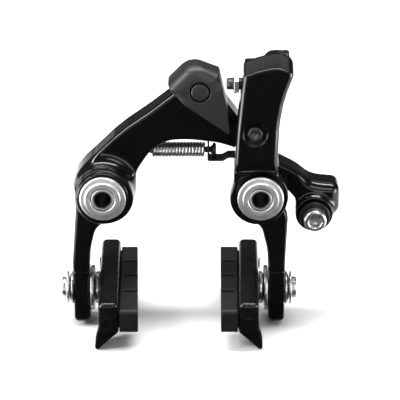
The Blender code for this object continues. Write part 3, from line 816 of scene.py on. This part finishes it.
def left_arm():
    f = field_round("left_arm", 0.4)
    outline = c_arm_outline()
    crisp = f.plate(outline, C_FRONT, C_BACK, 1.3, 0.9)
    soft = f.plate(outline, C_FRONT, C_BACK, 3.8, 0.9)
    share = smooth_step(f.x, 45.0, 51.0)
    body = crisp * (1 - share) + soft * share
    at = LEFT_PIVOT
    boss = f.cylinder(at, 10.9, -17.6, -2.5, rounding=0.7)
    boss = np.minimum(boss, f.cylinder(at, 9.3, -22.4, -6, rounding=0.5))
    bulge = (at[0] + 0.7, 0, at[2] - 1.0)
    boss = blended(boss, f.cylinder(bulge, 11.3, -21.5, -6, rounding=0.6), 0.5)
    made, slot = leg(f, -1)
    body = blended(body, boss, 5.0)
    body = blended(body, made, 2.5)
    anchor_at = (ANCHOR[0], 0, ANCHOR[2])
    body = blended(body, f.cylinder(anchor_at, 7.5, -15.6, -3.0, rounding=0.6), 2.0)
    spring = (0, SPRING[1], SPRING[2])
    body = carve_all(
        body,
        (slot, 0.7),
        (f.cylinder(at, 6.0, -30, 5), 0.5),
        (f.cylinder(anchor_at, 2.8, -20, -3.5), 0.3),
        (f.cylinder((COVER_PIN[0], 0, COVER_PIN[2]), 3.6, -20, 5), 0),
        (f.cylinder(spring, 1.95, -19.5, -8.0, axis="X"), 0),
        (f.cylinder(spring, 3.75, -13.1, 4.0, axis="X"), 0.6),
    )
    # relief pocket in the back of the long arm
    pocket = fillet([(-24, 15, 3), (-13, 26.5, 4), (1, 36.6, 3), (5, 30, 4), (-8, 24.4, 6), (-19, 11, 3)])
    body = carved(body, f.prism(pocket, -4.6, 5.0, rounding=1.0), 0.8)
    finish(surface("left_arm_forging", f, body), "arm_gloss_black", "left_arm", "left_arm")
    rim = lathe(
        "left_boss_rings",
        [
            (6.0, 22.7), (6.2, 22.9), (9.65, 22.9), (9.9, 22.65), (9.9, 20.9), (10.4, 20.9),
            (10.6, 20.7), (10.6, 18.9), (10.8, 18.9), (11.0, 18.7), (11.0, 15.0), (6.0, 15.0),
        ],
        (at[0], 0, at[2]),
        ring=True,
        softness=0.15,
    )
    finish(rim, "arm_gloss_black", "left_arm")


def cable_anchor():
    """The bolt that clamps the cable, with its washer and grooved plate."""
    at = (ANCHOR[0], 0, ANCHOR[2])
    face = 15.6
    turned(
        "anchor_clamp_plate",
        [(2.8, face + 1.5), (5.2, face + 1.5), (5.6, face + 1.2), (5.6, face + 0.3), (2.8, face + 0.3)],
        at, ring=True,
        look="black_steel", body="left_arm", node="anchor_plate",
    )
    turned(
        "anchor_disc",
        [
            (2.8, face + 2.8), (5.5, face + 2.8), (6.1, face + 2.55), (6.2, face + 2.3),
            (6.2, face + 1.95), (6.0, face + 1.8), (2.8, face + 1.8),
        ],
        at, ring=True,
        look="black_steel", body="left_arm", node="anchor_washer",
    )
    low, high = face + 3.1, face + 7.3
    turned(
        "anchor_cap_screw",
        [
            (0, high - 2.9), (2.3, high - 2.6, 6), (2.5, high - 0.5, 6), (2.6, high - 0.25, 6),
            (3.0, high), (3.75, high), (4.3, high - 0.35), (4.5, high - 0.8), (4.5, low + 0.3),
            (4.3, low), (2.5, low), (2.5, 4.2), (2.1, 3.8), (0, 3.8),
        ],
        at, softness=0.14,
        look="bolt_steel", body="left_arm", node="anchor_bolt",
    )


def cover():
    """The cap over the C-arm's crown, broad and soft at the top, with the pin that holds it."""
    low, high = node_box("link_cover")
    f = field_round("link_cover", 0.25)
    shape = fillet([
        (-5.5, 44.8, 1.5), (-2.6, 39.8, 2), (19.2, 24.6, 0.8), (17.6, 36.8, 10), (14.7, 49.4, 1.2),
        (6.0, 52.8, 6), (1.8, 52.2, 4), (-2.8, 48.3, 4),
    ])
    front, back = low[1], high[1]
    crisp = f.plate(shape, front, back, 0.8, 0.8)
    rounder = fillet([
        (-6.5, 43.8, 5), (-2.6, 39.8, 2), (19.2, 24.6, 0.8), (17.6, 36.8, 10), (15.0, 49.3, 1.0),
        (4.0, 54.4, 10),
    ])
    soft = np.maximum(crisp, f.plate(rounder, front, back + 3, 5.2, 0.8))
    # the bevel widens toward the upper left
    share = smooth_step(f.z * 0.86 - f.x * 0.38, 31.0, 37.5)
    body = crisp * (1 - share) + soft * share
    hollow = [
        (-20, 10), (-4.0, 10), (30, 10), (30, 34.0), (18.0, 37.0), (13.6, 45.0), (7.2, 47.4),
        (1.2, 44.7), (-4.4, 39.9), (-20, 27.2),
    ]
    body = carved(body, f.prism(hollow, C_FRONT - 0.3, 3.0))
    pin = (COVER_PIN[0], 0, COVER_PIN[2])
    body = carved(body, f.cylinder(pin, 4.0, -30, 0), 0.3)
    finish(surface("cover_shell", f, body), "cover_graphite", "left_arm", "link_cover")
    turned(
        "cover_pin_head",
        [
            (0, 20.15), (2.0, 20.18), (3.0, 20.1), (3.45, 19.75), (3.45, 14.4), (3.3, 14.4),
            (3.3, 2.0), (3.0, 1.6), (0, 1.6),
        ],
        pin, softness=0.2,
        look="cover_graphite", body="left_arm", node="cover_pin",
    )


# ---- return spring -----------------------------
TAB_X = 10.1


def return_spring():
    at = (0, SPRING[1], SPRING[2])
    low, high = node_box("return_spring")
    wire = 0.63
    start, end = low[0] + wire + 0.05, high[0] - wire + 0.5
    turns = 16
    path = []
    for k in range(turns * 28 + 1):
        turn = 2 * math.pi * k / 28
        x = start + (end - start) * k / (turns * 28)
        path.append((x, at[1] + 2.55 * math.sin(turn), at[2] + 2.55 * math.cos(turn)))
    coil = tube("spring_coil", path, wire)
    coil.data.materials.append(LOOKS["spring_steel"])
    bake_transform(coil)
    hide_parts("return_spring")
    turned(
        "spring_anchor_post",
        [
            (0, -10.6), (1.0, -10.6), (1.5, -10.95), (1.6, -11.3), (1.6, -12.4), (1.35, -12.6),
            (1.35, -13.2), (1.6, -13.4), (1.6, -19.2), (0, -19.2),
        ],
        at, "right", steps=48,
        look="black_plastic", body="left_arm", node="spring_anchor",
    )
    turned(
        "spring_plug_button",
        [
            (0, TAB_X + 3.3), (0.9, TAB_X + 3.3), (1.2, TAB_X + 3.5), (2.3, TAB_X + 3.5),
            (2.75, TAB_X + 3.1), (2.75, TAB_X + 2.3), (2.5, TAB_X + 2.1), (1.9, TAB_X + 2.0),
            (1.7, TAB_X + 1.6), (1.2, TAB_X + 1.3), (1.2, 8.0), (1.6, 7.6), (1.6, 5.4), (1.2, 5.0),
            (0, 5.0),
        ],
        at, "right", steps=48,
        look="black_plastic", body="spring_plug", node="spring_plug",
    )


def spring_bracket():
    """Bent sheet from the right boss to the spring's tab."""
    f = field_round("spring_bracket", 0.2)
    sheet = 0.8
    path = [(TAB_X + sheet + 0.1, 10.8), (16.2, 10.8), (18.4, 12.2), (20.8, 12.2), (25.5, 5.8)]
    strip = f.prism(ribbon(path, sheet), -11.4, -4.8, rounding=0.25)
    at = (PIVOT_X, 0, 0)
    hub = f.cylinder(at, 8.4, -11.2, -5.0, rounding=0.25)
    hub = carved(hub, f.cylinder(at, 7.6, -20, 5))
    hub = carved(hub, f.block((18.0, -20, -15), (45.0, 0, -1.6)))
    tab = f.block((TAB_X, -11.1, 10.5), (TAB_X + sheet, -5.1, 17.6), 0.3)
    body = blended(blended(strip, hub, 0.8), tab, 0.8)
    body = carved(body, f.cylinder((0, SPRING[1], SPRING[2]), 2.1, 5, 20, axis="X"), 0.2)
    piece = surface("spring_bracket_sheet", f, body)
    finish(piece, "black_steel", "right_arm", "spring_bracket")


# ---- right arm ---------------------------------
R_BACK, R_FRONT = -15.6, -25.0
CABLE_TOP = Vector((39.0, -13.6, 57.8))
CABLE_FOOT = Vector((46.6, -15.4, -8.0))
CABLE_WAY = (CABLE_TOP - CABLE_FOOT).normalized()


def right_arm():
    f = field_round("right_arm", 0.33)
    front_shape = fillet([
        (20.4, 9.6, 2), (21.2, 26.0, 40), (22.8, 44.0, 30), (24.0, 54.0, 1.2), (29.8, 56.2, 10),
        (36.8, 57.8, 8), (43.0, 55.4, 3.0), (43.0, 50.6, 3), (39.8, 41.5, 30), (38.0, 31.0, 30),
        (37.4, 9.6, 2),
    ])
    body = f.plate(front_shape, R_FRONT, R_BACK, 2.3, 1.0)
    # the top slopes up from the front face to the crown behind it
    lowered = polygon_distance(front_shape, f.x[:, 0, :], f.z[0])
    drop = 3.3 * np.clip((-17.5 - f.y[0, :, 0]) / 7.5, 0, 1) ** 1.2
    rows = f.z[0, 0]
    slope = np.stack([
        np.stack([np.interp(rows + d, rows, column) for column in lowered]) for d in drop
    ], axis=1)
    body = np.maximum(body, slope)
    crown_shape = fillet([
        (25.2, 42.0, 2), (24.2, 53.4, 1.0), (31.0, 53.6, 3), (33.8, 56.8, 4), (39.6, 57.0, 4),
        (43.2, 52.6, 2), (41.4, 45.5, 4), (37.6, 41.0, 3),
    ])
    body = blended(body, f.prism(crown_shape, R_BACK - 2, -10.0, rounding=0.8), 1.0)
    at = RIGHT_PIVOT
    boss = f.cylinder(at, 11.0, SHOULDER, R_BACK, rounding=0.7)
    boss = np.minimum(boss, f.cylinder(at, 7.3, SHOULDER + 1, -2.5, rounding=0.3))
    neck = f.prism([(20.2, 1), (37.6, 1), (38.0, 14), (20.6, 14)], SHOULDER + 0.4, R_BACK, rounding=0.8)
    bulge = (at[0] - 0.7, 0, at[2] - 1.0)
    boss = blended(boss, f.cylinder(bulge, 11.3, SHOULDER + 0.5, R_BACK - 0.2, rounding=0.6), 0.5)
    made, slot = leg(f, 1)
    body = blended(blended(blended(body, neck, 1.0), boss, 1.0), made, 1.2)
    scoop_side = [(-22.5, 8.9), (-25.4, 13.9), (-30, 13.9), (-30, -20), (-22.5, -20)]
    scoop = f.prism(scoop_side, 10, 50, plane="YZ")
    pin = (ROLLER[0], 0, ROLLER[2])
    body = carve_all(
        body,
        (slot, 0.7),
        (f.cylinder(at, 6.0, -30, 5), 0.4),
        (f.cylinder(at, 9.6, -35, SHOULDER), 0.9),
        (np.maximum(scoop, f.y - SHOULDER), 1.2),
        (f.cylinder(pin, 2.9, -30, -10), 0),
        (f.cylinder(pin, 4.6, -30, R_FRONT + 1.0), 0.4),
        (f.cylinder((0, STOP[1], STOP[2]), 2.7, 15, 34.5, axis="X"), 0.3),
        (f.rod(CABLE_TOP - CABLE_WAY * 8, CABLE_TOP + CABLE_WAY * 6, 2.75), 0.4),
        (f.rod(CABLE_TOP - CABLE_WAY * 40, CABLE_TOP, 1.1), 0),
    )
    finish(surface("right_arm_forging", f, body), "arm_gloss_black", "right_arm", "right_arm")


def roller():
    at = (ROLLER[0], 0, ROLLER[2])
    turned(
        "roller_axle",
        [
            (0, 23.95), (0.45, 24.1), (0.7, 24.5), (2.3, 24.7), (2.7, 24.6), (2.85, 24.35),
            (2.85, 24.1), (2.6, 24.0), (2.6, 15.9), (1.7, 15.6), (1.7, 2.6), (1.5, 2.5), (1.5, 2.1),
            (1.7, 2.0), (1.7, 1.6), (1.5, 1.4), (0, 1.4),
        ],
        at, steps=64,
        look="dark_steel", body="right_arm", node="roller_pin", slot="bolt_steel",
    )
    rings = {
        "roller_spacer": [(2.0, 15.3), (3.4, 15.3), (3.6, 15.1), (3.6, 13.8), (3.4, 13.6), (2.0, 13.6)],
        "cam_roller": [
            (2.0, 13.3), (3.1, 13.3), (3.4, 13.1), (3.5, 12.8), (3.5, 3.5), (3.4, 3.2), (3.1, 3.0),
            (2.0, 3.0),
        ],
        "roller_clip": [(2.0, 2.7), (3.1, 2.7), (3.2, 2.6), (3.2, 2.1), (3.1, 2.0), (2.0, 2.0)],
    }
    for name, profile in rings.items():
        finish(
            lathe(name + "_ring", profile, at, ring=True, steps=64, softness=0.08),
            "black_steel" if name == "roller_clip" else "bolt_steel",
            "cam_roller" if name == "cam_roller" else "right_arm",
            name,
        )


def stop_screw():
    at = (0, STOP[1], STOP[2])
    screw = threaded("stop_grub_screw", 2.4, 0.8, 0.3, -34.0, -17.4, at, "left", 1.0)
    finish(screw, "dark_steel", "stop_screw", "stop_screw", slot="bolt_steel")
    turned(
        "stop_lock_nut",
        [
            (2.7, 22.1), (2.95, 22.3), (3.1, 22.3), (3.5, 22.0, 6), (3.5, 20.4, 6), (3.1, 20.1),
            (2.95, 20.1), (2.7, 20.3),
        ],
        at, "right", ring=True, steps=96, softness=0.1, sharp=30,
        look="bolt_steel", body="right_arm", node="stop_nut",
    )


def cable_insert():
    turn = CABLE_WAY.to_track_quat("Z", "Y").to_matrix().to_4x4()
    turned(
        "cable_ferrule_seat",
        [
            (1.0, -0.9), (1.4, -0.6), (2.2, -0.6), (2.45, -0.85), (2.45, -7.3), (2.2, -7.6),
            (1.2, -7.6), (1.0, -7.4),
        ],
        CABLE_TOP, turn, ring=True, steps=48, softness=0.08,
        look="black_plastic", body="right_arm", node="cable_stop_insert",
    )


# ---- shoes -------------------------------------
SHOE_HALF = 28.0
SHOE_TOP, SHOE_BOTTOM = -35.4, -49.7
RIM_R = 309.0
SHOE_DEPTH = 8.0
PAD_REACH = 7.3
PAD_TOP, PAD_BOTTOM = -38.9, -49.0
SPACER = 3.85
TOE_IN = math.radians(1.0)
PAD_TAPER = math.radians(0.7)
PITCH = math.radians(2.8)
BOLT_R = 3.0


def curved_outline(low, high, half, corner):
    """A bar's side view, bent to the rim; points are (y, z)."""
    stations = [half * (k / 8 - 1) for k in range(17)]
    upper = [(BOLT_Y + y, high - y * y / (2 * RIM_R), corner if abs(y) == half else 0) for y in stations]
    lower = [(BOLT_Y + y, low - y * y / (2 * RIM_R), corner if abs(y) == half else 0) for y in stations]
    return fillet(upper + lower[::-1])


def shoe_pose(sign, back, taper=0.0):
    """Toe-in and pitch of a shoe about the middle of its bolt."""
    pivot_at = Matrix.Translation(Vector((sign * back, BOLT_Y, BOLT_Z)) * MM)
    toe = Matrix.Rotation(-sign * (TOE_IN + taper), 4, "Z")
    return pivot_at @ toe @ Matrix.Rotation(PITCH, 4, "X") @ pivot_at.inverted()


def shoe(side, sign):
    x = LEG_X[sign]
    inner, outer = x - LEG_HALF, x + LEG_HALF
    back = inner - SPACER
    face = back - SHOE_DEPTH
    seat = back - 3.4
    tip = face - PAD_REACH
    outward = "right" if sign > 0 else "left"
    at = (0, BOLT_Y, BOLT_Z)
    pose = shoe_pose(sign, back)
    body = side + "_shoe"

    def bar(field, low, high, half, corner, near, far, rounding=0.0):
        outline = curved_outline(low, high, half, corner)
        return field.prism(outline, sign * near, sign * far, rounding, plane="YZ")

    def across(near, far):
        return sorted((sign * near, sign * far))

    span = across(face - 1, back + 2)
    f = Field((span[0], BOLT_Y - SHOE_HALF - 1, -59), (span[1], BOLT_Y + SHOE_HALF + 1, -35), 0.25)
    holder = bar(f, SHOE_BOTTOM, SHOE_TOP, SHOE_HALF, 3.2, face, back, 2.2)
    fin = [(face + 0.6, -48), (back - 0.4, -48), (back + 1.7, -57.3), (back + 0.4, -57.8)]
    fin += [(face + 1.6, -51.2)]
    fin = fillet([(sign * a, b, r) for (a, b), r in zip(fin, (0, 0, 0.5, 0.3, 1.5), strict=True)])
    holder = blended(holder, f.prism(fin, -40.0, -31.0, rounding=0.5), 1.2)
    # long shallow flute along the outer wall
    flute = bar(f, SHOE_BOTTOM + 3.4, SHOE_TOP - 3.6, SHOE_HALF - 3.0, 2.0, back - 0.55, back + 4, 0.5)
    hub = f.cylinder(at, 8.2, *across(back - 3, back), axis="X", rounding=0.4)
    holder = carved(holder, carved(flute, hub, 0.8), 0.6)
    low, high = PAD_BOTTOM + 0.8, PAD_TOP - 0.8
    holder = carved(holder, bar(f, low, high, SHOE_HALF - 2.0, 1.2, face - 5, seat), 0.3)
    holder = carved(holder, f.cylinder(at, BOLT_R + 0.3, *across(seat + 0.6, back + 5), axis="X"))
    screw_at = (0, BOLT_Y + 19.0, -43.6)
    holder = carved(holder, f.cylinder(screw_at, 1.5, *across(seat - 2, back + 5), axis="X"))
    piece = surface(side + "_holder_casting", f, holder)
    piece.data.transform(pose)
    finish(piece, "holder_black", body, side + "_shoe_holder")

    span = across(tip - 1, seat + 1)
    f = Field((span[0], BOLT_Y - SHOE_HALF - 1, -53), (span[1], BOLT_Y + SHOE_HALF + 1, -36), 0.25)
    block = bar(f, low + 0.3, high - 0.3, SHOE_HALF - 2.3, 1.0, face - 1.5, seat - 0.3, 0.2)
    tread = bar(f, PAD_BOTTOM, PAD_TOP, SHOE_HALF - 0.6, 1.5, tip - 2, face - 0.3, 0.35)
    rubber = np.minimum(block, tread)
    slope = sign * math.tan(PAD_TAPER)
    rubber = np.maximum(rubber, tip - sign * (f.x + slope * sign * (f.y - BOLT_Y)))
    for k in range(3):
        y = BOLT_Y - 12.5 + 12.5 * k
        groove_low, groove_high = across(tip - 4, tip + 5.6)
        groove = f.block((groove_low, y - 0.6, -60), (groove_high, y + 0.6, -30), 0.15)
        rubber = carved(rubber, groove, 0.25)
    piece = surface(side + "_pad_rubber", f, rubber)
    piece.data.transform(pose)
    finish(piece, "pad_rubber", body, side + "_brake_pad")

    screw = turned(
        side + "_pad_grub_screw",
        [
            (0, back - 0.3), (0.8, back - 0.1, 6), (0.85, back + 0.85, 6), (1.1, back + 0.9),
            (2.1, back + 0.9), (2.4, back + 0.6), (2.4, back + 0.3), (1.2, back + 0.3),
            (1.2, seat + 0.2), (0, seat + 0.2),
        ],
        screw_at, outward, steps=48, softness=0.06,
        look="black_steel", body=body, node=side + "_pad_screw",
    )
    screw.matrix_world = pose @ screw.matrix_world

    head_low, head_high = outer + 3.1, outer + 5.0
    carrier = side + "_shoe_carrier"
    turned(
        side + "_bolt_turned",
        [
            (0, head_high - 1.7), (2.3, head_high - 1.5, 6), (2.5, head_high - 0.3, 6),
            (2.75, head_high), (3.7, head_high), (4.15, head_high - 0.25), (4.3, head_high - 0.6),
            (4.3, head_low + 0.2), (4.1, head_low), (BOLT_R, head_low), (BOLT_R, seat + 1.5),
            (BOLT_R - 0.4, seat + 1.0), (0, seat + 1.0),
        ],
        at, outward,
        look="bolt_steel", body=carrier, node=side + "_shoe_bolt",
    )
    bore = BOLT_R + 0.3
    washers = {
        "_outer_washer": [
            (bore, outer + 2.85), (6.4, outer + 2.85), (6.75, outer + 2.6), (6.75, outer + 2.2),
            (6.5, outer + 2.0), (bore, outer + 2.0),
        ],
        "_outer_dome_washer": [
            (bore, outer + 1.75), (4.6, outer + 1.75), (5.4, outer + 1.5), (6.2, outer + 1.1),
            (6.75, outer + 0.8), (6.75, outer + 0.45), (6.5, outer + 0.25), (bore, outer + 0.25),
        ],
        "_inner_cup_washer": [
            (bore, inner - 0.25), (8.8, inner - 0.25), (9.2, inner - 0.5), (9.2, inner - 1.4),
            (8.9, inner - 1.7), (6.2, inner - 1.7), (5.0, inner - 1.25), (bore, inner - 1.0),
        ],
        "_inner_dome_washer": [
            (bore, inner - 1.3), (4.8, inner - 1.6), (6.0, inner - 2.05), (6.6, inner - 2.45),
            (6.6, back + 0.45), (6.4, back + 0.25), (bore, back + 0.25),
        ],
    }
    for name, profile in washers.items():
        piece = lathe(side + name + "_turned", profile, at, outward, ring=True, softness=0.1)
        finish(piece, "washer_steel", carrier, side + name)


# ---- build -------------------------------------
for SIGN, SIDE in ((-1, "left"), (1, "right")):
    pivot(SIDE, SIGN)
    shoe(SIDE, SIGN)
left_arm()
cable_anchor()
cover()
return_spring()
spring_bracket()
right_arm()
roller()
stop_screw()
cable_insert()


# ---- floor, light and camera -------------------
FLOOR_GAP = 0.0005
FLOOR_HALF = 3.0


def floor():
    s = Shade("studio_floor")
    tone = s.mix(s.noise(6, 3.0), (0.86, 0.86, 0.86), (0.88, 0.88, 0.88))
    s.use(Base_Color=tone, Roughness=0.8, Normal=s.bump(s.noise(300, 3.0), 0.03, 0.2))
    z = cad_bounds[0][2] - FLOOR_GAP
    mesh = bpy.data.meshes.new("floor")
    corners = [(FLOOR_HALF * x, FLOOR_HALF * y, z) for x, y in ((-1, -1), (1, -1), (1, 1), (-1, 1))]
    mesh.from_pydata(corners, [], [(0, 1, 2, 3)])
    mesh.materials.append(s.material)
    plane = linked("floor", mesh)


def flag():
    """A black card in front of the object that only its reflections see."""
    z = cad_bounds[0][2]
    mesh = bpy.data.meshes.new("flag")
    corners = [(-0.6, -1.5, z), (0.6, -1.5, z), (0.1, -0.022, z), (-0.1, -0.022, z)]
    mesh.from_pydata(corners, [], [(0, 1, 2, 3)])
    s = Shade("flag_velvet")
    tone = s.mix(s.noise(40, 3.0), (0.002,) * 3, (0.004,) * 3)
    mesh.materials.append(s.use(Base_Color=tone, Roughness=0.9, Specular_IOR_Level=0.0))
    card = linked("flag", mesh)
    card.visible_camera = False
    card.visible_diffuse = False
    card.visible_shadow = False


def area_light(name, place, aim, width, power, height, diffuse=True, glossy=True):
    light = bpy.data.lights.new(name, "AREA")
    light.shape = "RECTANGLE"
    light.size = width
    light.size_y = height
    light.energy = power
    lamp = linked(name, light)
    lamp.location = place
    lamp.visible_camera = False
    lamp.visible_diffuse = diffuse
    lamp.visible_glossy = glossy
    lamp.rotation_euler = (Vector(aim) - Vector(place)).to_track_quat("-Z", "Y").to_euler()


SENSOR = 36.0
DISTANCE = 0.7
VIEW_WIDTH = 0.1565  # what the picture spans at the object
TILT = math.radians(24.0)


def camera():
    lens = bpy.data.cameras.new("camera")
    lens.sensor_width = SENSOR
    lens.lens = SENSOR * DISTANCE / VIEW_WIDTH
    eye = linked("camera", lens)
    aim = Vector((0.0072, -0.026, 0.0002))
    eye.location = aim + Vector((0, -math.cos(TILT), math.sin(TILT))) * DISTANCE
    eye.rotation_euler = (aim - eye.location).to_track_quat("-Z", "Y").to_euler()
    bpy.context.scene.camera = eye


def world():
    made = bpy.data.worlds.new("studio")
    made.use_nodes = True
    background = made.node_tree.nodes["Background"]
    background.inputs["Color"].default_value = (1, 1, 1, 1)
    background.inputs["Strength"].default_value = 0.08
    bpy.context.scene.world = made


floor()
flag()
area_light("overhead_strip", (0.0, -0.02, 0.75), (0, 0, 0), 0.9, 10.0, 0.12)
area_light("back_overhead", (0.0, 0.5, 0.85), (0, 0.15, -0.05), 1.2, 1.8, 0.5)
area_light("upper_left", (-0.66, -0.3, 0.52), (0, 0, 0), 0.2, 7.0, 0.4)
area_light("left_strip", (-0.17, -0.08, -0.005), (0.03, -0.02, 0.02), 0.09, 0.34, 0.1, diffuse=False)
area_light("right_strip", (0.21, -0.08, -0.005), (0.03, -0.02, 0.02), 0.09, 0.34, 0.1, diffuse=False)
area_light("front_key", (0.25, -0.8, 0.5), (0, 0, 0), 0.4, 1.6, 0.3)
area_light("floor_fill", (0.0, 0.0, 1.3), (0, 0, 0), 2.6, 16.0, 2.6, glossy=False)
area_light("front_fill", (0.0, -0.9, 0.0), (0, 0, 0), 0.9, 1.2, 0.12)
world()
camera()
bpy.context.scene.view_settings.view_transform = "Standard"
